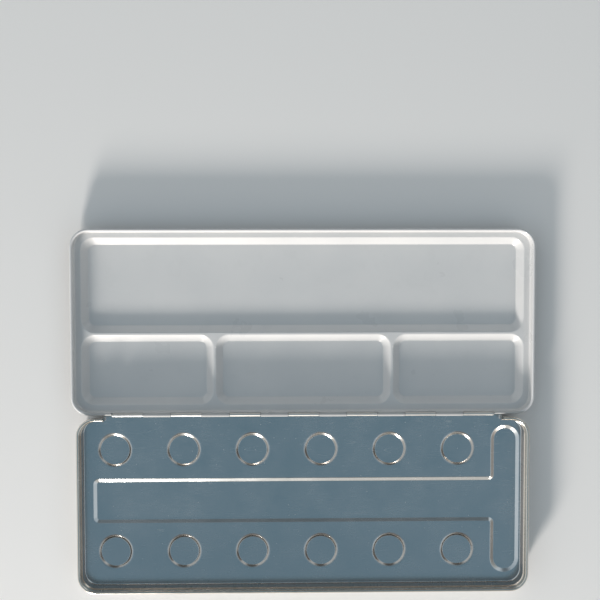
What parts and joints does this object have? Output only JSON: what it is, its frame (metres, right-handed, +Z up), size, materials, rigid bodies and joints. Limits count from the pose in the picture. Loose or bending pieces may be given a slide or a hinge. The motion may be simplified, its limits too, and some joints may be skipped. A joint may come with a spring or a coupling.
{
  "type": "face paint tin",
  "caption": "Shallow hinged metal tin for face paints, lying open: a tray with pan seats and a brush channel, and a white-lined lid pressed with mixing wells.",
  "frame": {"origin": "on the table, under the middle of the tin as it lies open flat", "axes": "+X along the hinge, with the base in front of it; +Y from the base to the lid; +Z up"},
  "size_m": [0.24, 0.1894, 0.012],
  "materials": {
    "tinplate": "satin tin-plated steel sheet",
    "white_enamel": "glossy white baked enamel coat",
    "steel_wire": "drawn steel wire",
    "label_paper": "smooth off-white label paper"
  },
  "bodies": {
    "base": {"base_tray": "tinplate", "hinge_pin": "steel_wire"},
    "lid": {"lid_shell": "tinplate", "lid_enamel": "white_enamel", "label": "label_paper"}
  },
  "joints": [
    {"name": "lid_hinge", "type": "hinge", "parent": "base", "child": "lid", "pos_m": [0, -0.00125, 0.01], "axis": [1, 0, 0], "range_deg": [0, 180]}
  ]
}
